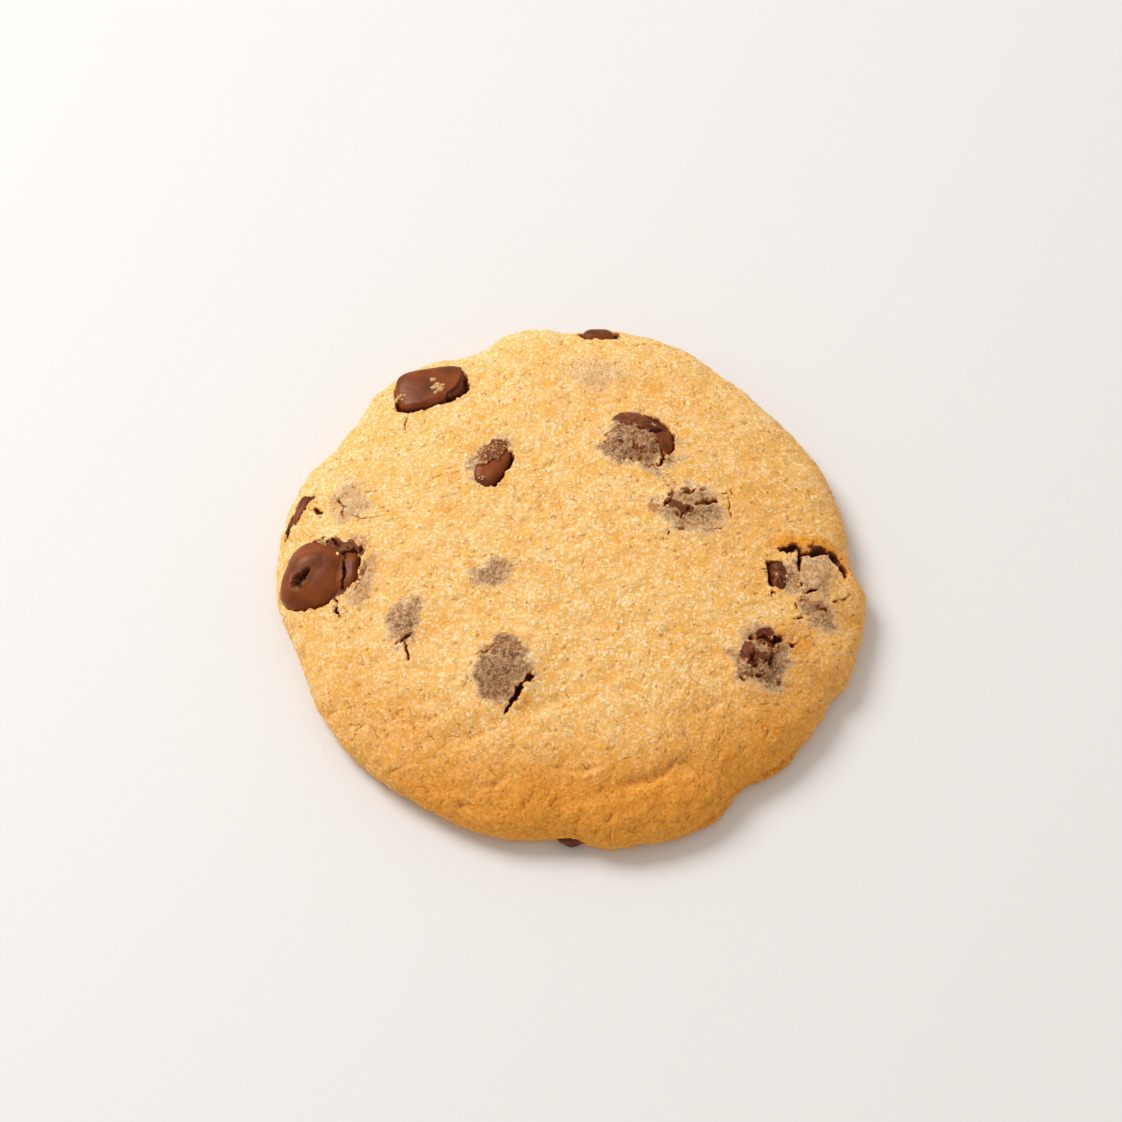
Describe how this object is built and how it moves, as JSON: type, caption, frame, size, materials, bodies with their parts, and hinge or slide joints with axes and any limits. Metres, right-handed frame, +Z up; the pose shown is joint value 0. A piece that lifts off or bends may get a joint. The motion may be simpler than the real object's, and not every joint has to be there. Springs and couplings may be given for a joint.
{
  "type": "chocolate chip cookie",
  "caption": "Round, domed, golden-brown cookie with uneven rim, some chocolate chips standing out of the crust and others hidden just under it. Lies flat on its underside.",
  "frame": {"origin": "middle of the cookie's outline, on the flat underside it rests on", "axes": "+Z up out of the domed top, -Y towards the front of the picture, +X to its right"},
  "size_m": [0.0793, 0.0797, 0.0111],
  "materials": {
    "baked_dough": "matt, grainy golden crust, browner towards the rim",
    "chocolate": "satin milk chocolate, melted and set again"
  },
  "bodies": {
    "root": {"dough": "baked_dough", "chip_left": "chocolate", "chip_left_lobe": "chocolate", "chip_top_left": "chocolate", "chip_middle_left": "chocolate", "chip_upper_right": "chocolate", "chip_middle_right": "chocolate", "chip_right_edge": "chocolate", "chip_lower_right": "chocolate", "chip_back_rim": "chocolate", "chip_left_rim": "chocolate", "chip_front_under": "chocolate"}
  },
  "joints": []
}
